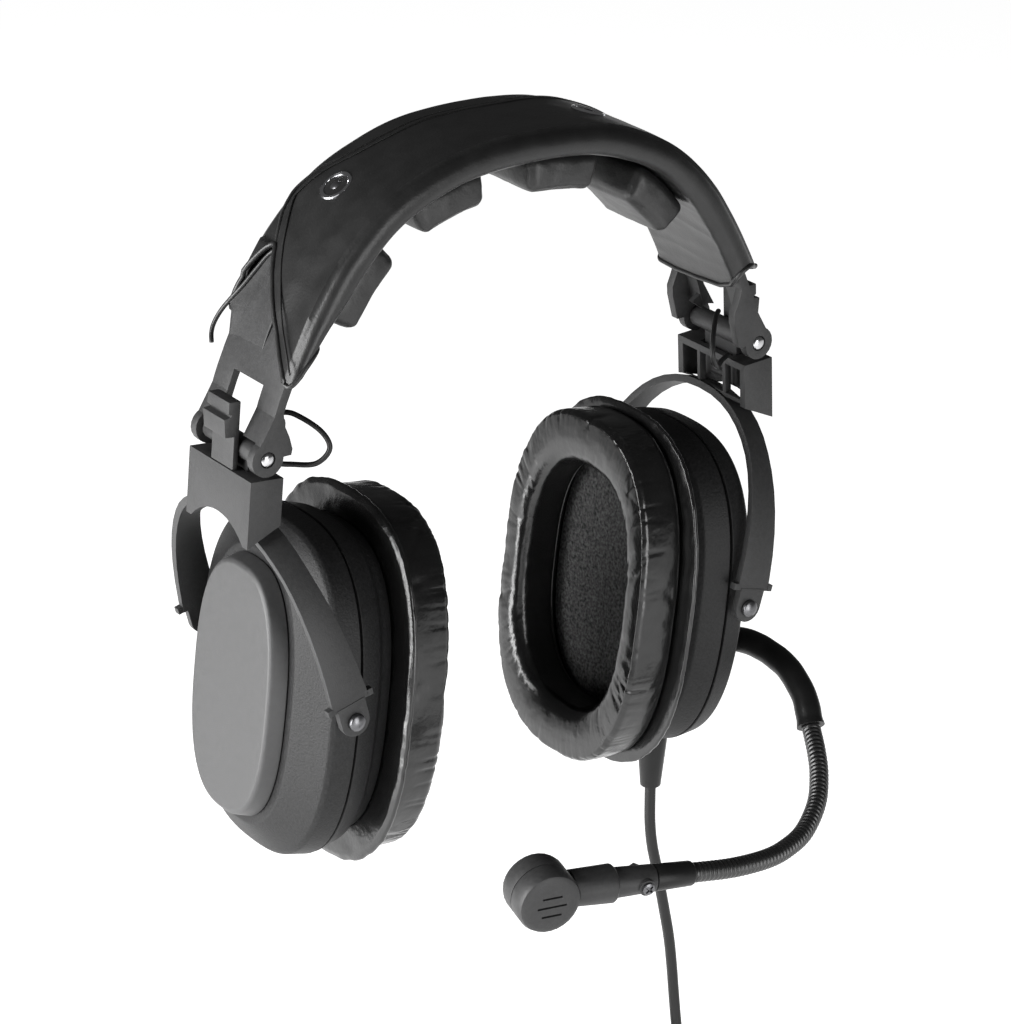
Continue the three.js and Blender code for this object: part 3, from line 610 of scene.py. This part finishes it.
# each layer's finish, whether its section is a ring, and its (x, half width, half height, corner radius)
SHELL_LAYERS = {
    "outer_shell": ("shell_plastic", False, [
        (73.2, 12, 26, 0), (73.2, 22, 38, 0.7), (67.9, 32.4, 45.5, 0.5), (66.8, 33.3, 46.3, 0.4),
        (60.9, 34.3, 47.1, 0.35), (60.8, 33, 45.8, 0.2), (60.8, 32, 44.8, 0.2), (66.2, 30.8, 43.8, 0.5),
        (70.8, 20.6, 36.4, 0.5), (70.8, 12, 26, 0),
    ]),
    "inner_shell": ("shell_plastic", True, [
        (47.5, 26.8, 41.4, 0.2), (47.5, 28.4, 43, 0.3), (51.1, 29.2, 43.7, 0.8), (53.2, 31.6, 45.5, 0.5),
        (60.1, 34.2, 47, 0.35), (60.4, 33, 46, 0.2), (60.5, 32, 44.8, 0.2), (54.8, 29.6, 43.4, 0.5),
        (51.6, 27.6, 42, 0.3), (49.6, 26.8, 41.4, 0.2),
    ]),
    "cup_cap": ("cap_plastic", False, [
        (78.6, 9, 20, 0), (78.6, 17.8, 33.8, 0.5), (77.9, 18.7, 34.8, 0.6), (73.5, 19.6, 36, 0.3),
        (73.5, 9, 20, 0),
    ]),
    "cushion_skirt": ("cushion_skin", True, [
        (45.0, 24.5, 37.5, 0.2), (45, 35.2, 50, 0.4), (45.3, 36.9, 51.5, 0.35), (46, 37.1, 51.7, 0.4),
        (46.6, 36.8, 51.4, 0.3), (47.2, 35.6, 50, 0.5), (47.2, 24.5, 37.5, 0.2),
    ]),
    "driver_foam": ("foam", False, [
        (45.6, 12, 20, 0), (45.4, 20, 33, 3), (45.8, 24.1, 37.1, 0.8), (47.2, 24.1, 37.1, 0.2),
        (47.2, 12, 20, 0),
    ]),
}


SKIRT_INSIDE = (25, 38)  # half width and half height that stay even


def ragged_rim(side):
    """A change for ring_layer that makes a soft rim wander in and out."""
    seed = SIDES[side]

    def change(grid, angles):
        for r in range(grid.shape[0]):
            for c in range(grid.shape[1]):
                x, y, z = grid[r, c]
                if abs(y) < SKIRT_INSIDE[0] and abs(z) < SKIRT_INSIDE[1]:
                    continue
                wave = noise.noise(Vector((seed * 7, y * 0.35, z * 0.35)))
                grid[r, c, 1:] *= 1 + 0.007 * wave
                grid[r, c, 0] += 0.25 * noise.noise(Vector((seed * 3, y * 0.2, z * 0.2)))
        return grid

    return change


def make_shells(side):
    for node, (slot, closed, corners) in SHELL_LAYERS.items():
        change = ragged_rim(side) if node == "cushion_skirt" else None
        profile = divided(fillet(corners, 4, closed), 3, closed)
        vertices, faces = ring_layer(profile, closed, 200, change)
        obj = new_object(f"{node}_skin_{side}", on_cup(vertices, side), faces, slot, f"cup_{side}",
                         [f"{node}_{side}"])
        crease(obj)


def make_cushion_piping(side):
    """The welted seam round the inside of the opening, where the cushion meets its backing."""
    angles = even_angles(23, 36, 240)
    y, z = outline(angles, 22.9, 35.2)
    ring = np.stack([np.full(len(y), 43.6), y + CUP["y"], z + CUP["z"]], 1)
    tube(f"cushion_piping_{side}", on_cup(ring, side), 0.55, "cushion_skin", f"cup_{side}", closed=True)


def crease(obj, angle=32):
    """Shades edges sharper than the angle as hard ones."""
    bm = bmesh.new()
    bm.from_mesh(obj.data)
    for edge in bm.edges:
        if len(edge.link_faces) == 2:
            edge.smooth = edge.calc_face_angle(0) < math.radians(angle)
    bm.to_mesh(obj.data)
    bm.free()


def tube(name, points, radius, slot, body, closed=False, replaces=(), sides=10):
    """A round cord of cloth or wire through the points, which are in metres; the radius is in mm."""
    pts = np.asarray(points, float)
    vertices, faces = swept_tube((pts, range(len(pts))), lambda at: radius * MM, sides, closed)
    return new_object(name, vertices, faces, slot, body, replaces)


def lathe(name, profile, origin, axis, slot, body, replaces=(), sides=40, sink=None):
    """A turned piece in mm; sink(u, v) lowers points of its faces, for a recess."""
    axis = Vector(axis).normalized()
    u = axis.orthogonal().normalized()
    v = axis.cross(u)
    vertices = []
    for r, h in profile:
        for s in range(sides):
            a = 2 * math.pi * s / sides
            y, z = r * math.cos(a), r * math.sin(a)
            low = sink(y, z) if sink else 0
            vertices.append((Vector(origin) + u * y + v * z + axis * (h - low)) * MM)
    faces = sweep_faces(len(profile), sides, False)
    for row in (0, len(profile) - 1):
        middle = len(vertices)
        low = sink(0, 0) if sink and row else 0
        vertices.append((Vector(origin) + axis * (profile[row][1] - low)) * MM)
        faces += [(row * sides + c, row * sides + (c + 1) % sides, middle) for c in range(sides)]
    obj = new_object(name, vertices, faces, slot, body, replaces)
    crease(obj, 35)
    return obj


# ------------------------------------------------------------------ headband

BAND_HALF = [(0, 78), (20, 76.6), (33, 72.7), (46, 66), (57.5, 55), (65, 44.4), (71.3, 33.6), (75.4, 25.2),
             (78.6, 17), (83.4, 0)]
BAND_DROP = 57
COVER = {"half": 19.5, "depth": 7.4, "wall": 1.1, "roll": 3.1}


def centripetal(points, per_span):
    """A centripetal spline through 2-D points, as dense points."""
    pts = [np.array(p, float) for p in points]
    pts = [2 * pts[0] - pts[1]] + pts + [2 * pts[-1] - pts[-2]]
    line = []
    for i in range(1, len(pts) - 2):
        p0, p1, p2, p3 = pts[i - 1:i + 3]
        d0, d1, d2 = [max(np.linalg.norm(b - a), 1e-6) ** 0.5 for a, b in ((p0, p1), (p1, p2), (p2, p3))]
        m1 = ((p1 - p0) / d0 - (p2 - p0) / (d0 + d1) + (p2 - p1) / d1) * d1
        m2 = ((p2 - p1) / d1 - (p3 - p1) / (d1 + d2) + (p3 - p2) / d2) * d1
        for s in range(per_span):
            t = s / per_span
            line.append(p1 + m1 * t + (3 * (p2 - p1) - 2 * m1 - m2) * t * t
                        + (2 * (p1 - p2) + m1 + m2) * t ** 3)
    line.append(pts[-2])
    return np.array(line)


def band_samples():
    half = BAND_HALF
    points = [(-x, z - BAND_DROP) for x, z in reversed(half[1:])] + [(x, z - BAND_DROP) for x, z in half]
    line = centripetal(points, 60)
    run = np.concatenate([[0], np.cumsum(np.linalg.norm(np.diff(line, axis=0), axis=1))])
    t = np.linspace(0, 1, 1601)
    even = np.stack([np.interp(t * run[-1], run, line[:, k]) for k in range(2)], 1)
    return t, even, run[-1]


BAND_T, BAND_XZ, BAND_LENGTH = band_samples()
BAND_DIR = np.gradient(BAND_XZ, axis=0)
BAND_DIR /= np.linalg.norm(BAND_DIR, axis=1)[:, None]


def on_band(t, y, depth):
    """A point t of the way along the band (0 at the -X foot), y across it, depth under its outer face."""
    x = np.interp(t, BAND_T, BAND_XZ[:, 0])
    z = np.interp(t, BAND_T, BAND_XZ[:, 1])
    dx = np.interp(t, BAND_T, BAND_DIR[:, 0])
    dz = np.interp(t, BAND_T, BAND_DIR[:, 1])
    return Vector((x + dz * depth, y, z - dx * depth))


def band_at(x):
    """How far along the band x is."""
    return float(np.interp(x, BAND_XZ[:, 0], BAND_T))


# the outer panel's two ends as (y, x) or (y, share of the band), and the flap's and lining's edges as (x, y)
RIGHT_TIP = [
    (-19.5, -76.6), (-17.8, -75.6), (-13, -73.6), (-8, -71.5), (-3.5, -69.2), (0.5, -66.8),
    (4.5, -64.2), (7.5, -61.8), (9, -60.4), (10.2, -60.4), (12, -61.3), (13.5, -62.5),
    (15.4, -64.4), (17.2, -66.6), (18.6, -69), (19.5, -71.5),
]
FLAP_EDGE = [
    (-60.5, 9.2), (-57.8, 12), (-55.2, 14.4), (-52.5, 15.6), (-49.9, 15.8), (-44, 13.8),
    (-38, 11.2), (-28, 9.4), (-17, 9.2), (-7, 8.8), (3, 8.6), (14, 9.8), (29, 12.6),
    (45, 15.5), (60, 17), (76, 18),
]
LINING_EDGE = [
    (-60.8, 10.4), (-62.2, 12.2), (-64.4, 13.8), (-67.2, 15.8), (-69.7, 18.4), (-71.6, 20.2),
    (-73.2, 20.9), (-74.3, 20.4), (-75.2, 18.9),
]
LEFT_TIP = [(-19.5, 0.866), (-16, 0.882), (-10, 0.892), (0, 0.896), (10, 0.898), (19.5, 0.895)]


def table_at(pairs, value):
    """The second of each pair, read between the pairs at a value of the first."""
    return float(np.interp(value, [p[0] for p in pairs], [p[1] for p in pairs]))


def flap_y(x):
    return table_at(FLAP_EDGE, x)


def cover_section():
    """Round the cover: the outer face from front to rear, the rear roll, the underside, the front roll."""
    half, depth, roll = COVER["half"], COVER["depth"], COVER["roll"]
    loop = [(y, 0.0) for y in np.linspace(-half + roll, half - roll, 56)]
    for side, start in ((1, 90), (-1, 270)):
        centre = side * (half - roll)
        for a in np.linspace(12, 168, 14):
            turn = math.radians(start - 90 + a)
            loop.append((centre + roll * math.sin(turn), depth / 2 - depth / 2 * math.cos(turn)))
        if side > 0:
            loop += [(y, depth) for y in np.linspace(half - roll, -half + roll, 44)]
    return loop


FLAP = {"from": -60.4, "lift": 0.8, "edge": 0.15, "whole": 30}
COVER_SWELL = 0.5  # how far the outer face crowns between its rolls
FOLD = {"depth": 0.5, "width": 4.5, "fades_at": -20}
TUCK_DEPTH = 0.5
THIN_TIP = {"share": 0.34, "from": -77, "length": 15, "front_of": 8}


def ramp(value):
    return min(1, max(0, value))


def cover_point(y, depth, f):
    """A point of the cover; f runs from its -X end to its +X end."""
    full = COVER["depth"]
    outer = max(0.0, 1 - depth / full)
    start = band_at(table_at(RIGHT_TIP, y)) * outer + band_at(-70) * (1 - outer)
    t = start + (table_at(LEFT_TIP, y) - start) * f
    x = float(np.interp(t, BAND_T, BAND_XZ[:, 0]))
    where = Vector((t * BAND_LENGTH, y, depth))
    soft = 0.3 * noise.noise(where * 0.045) + 0.07 * noise.noise(where * 0.17)
    push = soft
    if depth < 0.01:
        edge = flap_y(x) if x > FLAP["from"] else FLAP["whole"]
        raised = 1 / (1 + math.exp(-(edge - y) / FLAP["edge"]))
        push += FLAP["lift"] * raised * ramp((x + 74) / 10)
        push += COVER_SWELL * (1 - (y / COVER["half"]) ** 4)
        fold = (x + 62) * 0.45 + (y + 12) * 0.9
        fades = ramp((FOLD["fades_at"] - x) / 14)
        push -= FOLD["depth"] * math.exp(-(fold / FOLD["width"]) ** 2) * fades
    elif depth > full - 0.01:
        tuck = abs(noise.noise(Vector((where.x * 0.2, where.y * 0.05, 4))))
        push = 0.6 * soft - TUCK_DEPTH * tuck
    near_tip = ramp((x - THIN_TIP["from"]) / THIN_TIP["length"]) ** 0.8
    thin = THIN_TIP["share"] + (1 - THIN_TIP["share"]) * near_tip if y < THIN_TIP["front_of"] else 1
    placed = depth * thin - push if depth < full / 2 else depth * thin + push * 0.7
    return on_band(t, y, placed) * MM


def make_cover():
    section = cover_section()
    rows = 420
    vertices = [cover_point(y, depth, i / (rows - 1)) for i in range(rows) for y, depth in section]
    faces = sweep_faces(rows, len(section), False)
    mesh = bpy.data.meshes.new("cover")
    mesh.from_pydata([tuple(v) for v in vertices], [], faces)
    obj = bpy.data.objects.new("cover", mesh)
    bpy.context.scene.collection.objects.link(obj)
    face_outward(mesh)
    wall = obj.modifiers.new("wall", "SOLIDIFY")
    wall.thickness = COVER["wall"] * MM
    wall.offset = -1
    bpy.context.view_layer.update()
    solid = bpy.data.meshes.new_from_object(obj.evaluated_get(bpy.context.evaluated_depsgraph_get()))
    obj.modifiers.clear()
    obj.data = solid
    dress(obj, "leatherette", "headband", ["band_cover"])
    crease(obj, 50)


def edge_line(points, lift):
    """A piped edge on the band through (t, y) pairs, in metres."""
    line = catmull([Vector((t, y, 0)) for t, y in points], 10)
    return [on_band(p.x, p.y, -lift) * MM for p in line]


def make_piping():
    skin, body = "leatherette", "headband"
    section = cover_section()
    for name, end in (("right_tip_piping", 0.0), ("left_tip_piping", 1.0)):
        tube(name, [cover_point(y, depth, end) for y, depth in section], 0.68, skin, body, closed=True)
    flap = [(band_at(x), y) for x, y in FLAP_EDGE]
    tube("flap_piping", edge_line(flap, 0.95), 0.5, skin, body)
    inner = [(band_at(x + 1.6), y - 1.7) for y, x in RIGHT_TIP[1:9]]
    inner += [(band_at(x), y - 2.3) for x, y in FLAP_EDGE[3:]]
    tube("flap_seam", edge_line(inner, 1.4), 0.26, skin, body)
    rear = [(t, 19.2) for t in (0.16, 0.2, 0.35, 0.5, 0.65, 0.8, 0.885)]
    tube("rear_piping", edge_line(rear, -2.4), 0.55, skin, body)


def make_lining():
    """The lining that shows over the arm below the cover's notch, and its rolled edge."""
    rows, cols = 26, 30
    by_y = sorted((y, x) for x, y in LINING_EDGE[:6])
    vertices = []
    for i in range(rows):
        f = i / (rows - 1)
        for j in range(cols):
            y = -1 + (20.4 - 5 * f ** 0.7) * j / (cols - 1)
            start = band_at(table_at(by_y, y))
            t = start + (band_at(-74.5) - start) * f
            ripple = 0.5 * noise.noise(Vector((t * BAND_LENGTH * 0.12, y * 0.25, 7))) * (1 - f)
            vertices.append(on_band(t, y, 0.9 + 1.3 * f ** 3 + ripple) * MM)
    faces = sweep_faces(rows, cols, False, False)
    sheet = new_object("lining", vertices, faces, "moulded_plastic", "headband")
    wall = sheet.modifiers.new("wall", "SOLIDIFY")
    wall.thickness = 0.4 * MM
    sheet.data = bpy.data.meshes.new_from_object(sheet.evaluated_get(bpy.context.evaluated_depsgraph_get()))
    sheet.modifiers.clear()
    edge = [(band_at(x), y) for x, y in LINING_EDGE]
    tube("lining_piping", edge_line(edge, -0.6), 0.62, "leatherette", "headband")


def make_pin_heads():
    """Domed heads at both ends of each hinge pin."""
    for side in SIDES:
        lo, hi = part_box(f"hinge_pin_{side}")
        centre = (Vector(lo) + Vector(hi)) / 2 / MM
        for end, facing in (("front", -1), ("rear", 1)):
            y = (lo[1] if facing < 0 else hi[1]) / MM
            profile = [(2.0, -0.5), (2.0, 0), (1.9, 0.35), (1.5, 0.7), (0.9, 0.92), (0.3, 1.0)]
            lathe(f"pin_head_{end}_{side}", profile, (centre.x, y, centre.z), (0, facing, 0),
                  "bright_steel", "headband")


# middle, spacing and length are shares of the band's length; the rest is in mm
PADS = {"count": 4, "middle": 0.476, "spacing": 0.162, "length": 0.1, "half_width": 13.0, "half_depth": 4.9,
        "under": 12.75, "corner": 2.6, "puff": 0.9}


def make_pads():
    half = (PADS["length"] * BAND_LENGTH / 2, PADS["half_width"], PADS["half_depth"])
    for index in range(PADS["count"]):
        mid = PADS["middle"] + (index - (PADS["count"] - 1) / 2) * PADS["spacing"]
        vertices, faces = puffed_block(half, PADS["corner"], PADS["puff"], 40 + index)
        placed = []
        for along, y, up in vertices:
            placed.append(on_band(mid + along / BAND_LENGTH, y, PADS["under"] + up) * MM)
        pad = new_object(f"crown_pad_skin_{index + 1}", placed, faces, "pad_vinyl", "headband",
                         [f"crown_pad_{index + 1}"])


def puffed_block(half, radius, puff, seed):
    """A stuffed block: rounded corners, faces that bulge, and an uneven skin."""
    n = 26
    steps = np.linspace(-1, 1, n)
    ids = {}
    vertices, faces = [], []

    def vertex(p):
        key = tuple(round(c, 6) for c in p)
        if key not in ids:
            ids[key] = len(vertices)
            vertices.append(shaped(p))
        return ids[key]

    def shaped(p):
        q = Vector([c * h for c, h in zip(p, half)])
        core = Vector([max(-h + radius, min(h - radius, c)) for c, h in zip(q, half)])
        away = q - core
        q = core + away.normalized() * radius if away.length > 1e-6 else q
        flat = [1 - c * c for c in p]
        swell = Vector([flat[(k + 1) % 3] * flat[(k + 2) % 3] * p[k] ** 3 * puff for k in range(3)])
        bump = 0.35 * noise.noise(q * 0.13 + Vector((seed, 0, 0))) + 0.14 * noise.noise(q * 0.4)
        return q + swell + q.normalized() * bump

    for axis in range(3):
        for sign in (-1, 1):
            for i in range(n - 1):
                for j in range(n - 1):
                    quad = []
                    for a, b in ((0, 0), (1, 0), (1, 1), (0, 1)):
                        p = [0, 0, 0]
                        p[axis] = sign
                        p[(axis + 1) % 3] = steps[i + a]
                        p[(axis + 2) % 3] = steps[j + b]
                        quad.append(vertex(p))
                    faces.append(quad)
    return vertices, faces


EYELETS = {"eyelet_left": (0.611, -1.5), "eyelet_right": (0.306, 3.5)}
EYELET_RING = [(3.3, -0.6), (4.6, -0.4), (4.75, 0.1), (4.5, 0.6), (4.0, 0.8), (3.5, 0.55), (3.3, 0)]
EYELET_CUP = [
    (0, -0.6), (3.4, -0.5), (3.4, -0.2), (1.9, -0.25), (1.7, 0.3), (1.1, 0.75), (0.4, 0.9),
]


def make_eyelets():
    for name, (t, y) in EYELETS.items():
        base = on_band(t, y, -0.9)
        out = on_band(t, y, -2) - on_band(t, y, -1)
        lathe(f"{name}_ring", EYELET_RING, base, out, "chrome", "headband", [name])
        lathe(f"{name}_cup", EYELET_CUP, base, out, "dark_metal", "headband")


def make_wires():
    route = [(70.6, -7, 8.6), (67.6, -9.6, 8.2), (63, -14.4, 4.4), (61.6, -16.5, 0), (64.6, -14.8, -4),
             (69.6, -10.5, -4.6), (73.4, -8.6, -4.2)]
    pin_z = -51.6
    for side, sign in SIDES.items():
        line = catmull([Vector((x, y, z + pin_z)) * MM for x, y, z in route], 10)
        for p in line:
            p.x *= sign
        wire = tube(f"wire_{side}", line, 0.72, "cord_jacket", None, replaces=[f"hinge_wire_{side}"])
        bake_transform(wire)


# ------------------------------------------------------------------ boom

GOOSENECK = {"radius": 2.5, "rib": 0.22, "pitch": 1.55}
NECK_ROUTE = [
    (84.3, -39.8, -159.6), (83.8, -41, -160.6), (80.3, -47.2, -163), (75.8, -54, -166.1),
    (68.5, -62, -169.5), (58.4, -69, -172.2), (48.8, -73.4, -172.4), (39, -76.6, -171.4),
    (25, -79.4, -168.6), (10.2, -80.4, -165.2),
]
SLEEVE_ROUTE = [
    (84.6, 0.5, -148.2), (85.4, -5, -146.6), (86.4, -10.5, -146), (87.7, -16.5, -146.9),
    (88.2, -23.5, -148.6), (87.5, -29.5, -151.2), (86.4, -34.5, -154.2), (84.3, -39.8, -159.6),
]


def make_gooseneck():
    line = catmull([Vector(p) * MM for p in NECK_ROUTE], 12)
    pitch = GOOSENECK["pitch"] * MM

    def radius(at):
        rib = math.cos(2 * math.pi * at / pitch)
        return (GOOSENECK["radius"] + GOOSENECK["rib"] * (1 - (1 - rib) ** 2 / 2)) * MM

    vertices, faces = swept_tube(resample(line, pitch / 8), radius, 24)
    neck = new_object("gooseneck", vertices, faces, "gooseneck_skin", None)
    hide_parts("gooseneck_lower", "gooseneck_upper")
    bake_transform(neck)


def make_sleeve():
    line = resample(catmull([Vector(p) * MM for p in SLEEVE_ROUTE], 10), 0.6 * MM)
    whole = line[1][-1]

    def radius(at):
        f = at / whole
        lump = 0.12 * noise.noise(Vector((at * 260, 3, 1)))
        mouth = 0.35 * math.exp(-((1 - f) * whole / (1.4 * MM)) ** 2)
        neck = 0.55 * math.exp(-(at / (3 * MM)) ** 2)
        return (3.68 + lump + mouth - neck) * MM

    vertices, faces = swept_tube(line, radius, 32)
    sleeve = new_object("sleeve", vertices, faces, "soft_rubber", "boom", ["boom_sleeve"])
    crease(sleeve, 40)


def make_screw():
    def cross(u, v):
        return 0.55 if min(abs(u), abs(v)) < 0.26 and max(abs(u), abs(v)) < 1.15 else 0

    lo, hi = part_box("stem_screw")
    facing = Vector((-0.2, -0.975, -0.08)).normalized()
    centre = (Vector(lo) + Vector(hi)) / 2 / MM - facing * 0.45
    profile = [(1.7, 0)] + [(r, 0.9 - 0.32 * (r / 1.7) ** 3) for r in np.linspace(1.68, 0.08, 16)]
    lathe("screw_head", profile, centre, facing, "dark_metal", "mic_arm", ["stem_screw"], 48, cross)


# ------------------------------------------------------------------ assembly

MATERIALS = make_materials()
make_camera()
make_cord()
make_stage()

BODY_OF = {node: body for body, members in frame["record"]["behaviour"]["bodies"].items() for node in members}
SLOT_OF = {part["node"]: part["material_slot"] for part in frame["record"]["subparts"]}

for name, obj in NODES.items():
    obj.data.materials.clear()
    obj.data.materials.append(MATERIALS[SLOT_OF[name]])

for side_name in SIDES:
    make_cushion(side_name)
    make_cushion_piping(side_name)
    make_shells(side_name)
make_cover()
make_piping()
make_lining()
make_pads()
make_eyelets()
make_pin_heads()
make_wires()
make_gooseneck()
make_sleeve()
make_screw()

HARD = ["band_end", "link", "height_block", "height_catch", "yoke"]
for side_name in SIDES:
    for part in HARD:
        node_name = f"{part}_{side_name}"
        refined(node_name, SLOT_OF[node_name], BODY_OF[node_name], 0.35)
    for part in ["pivot_rivet_front", "pivot_rivet_rear"]:
        node_name = f"{part}_{side_name}"
        refined(node_name, "dark_metal", BODY_OF[node_name], 0.15)
for part in ["boom_turret", "mic_ferrule", "mic_stem", "mic_neck", "mic_housing", "mic_grille"]:
    refined(part, SLOT_OF[part], BODY_OF[part], 0.25)
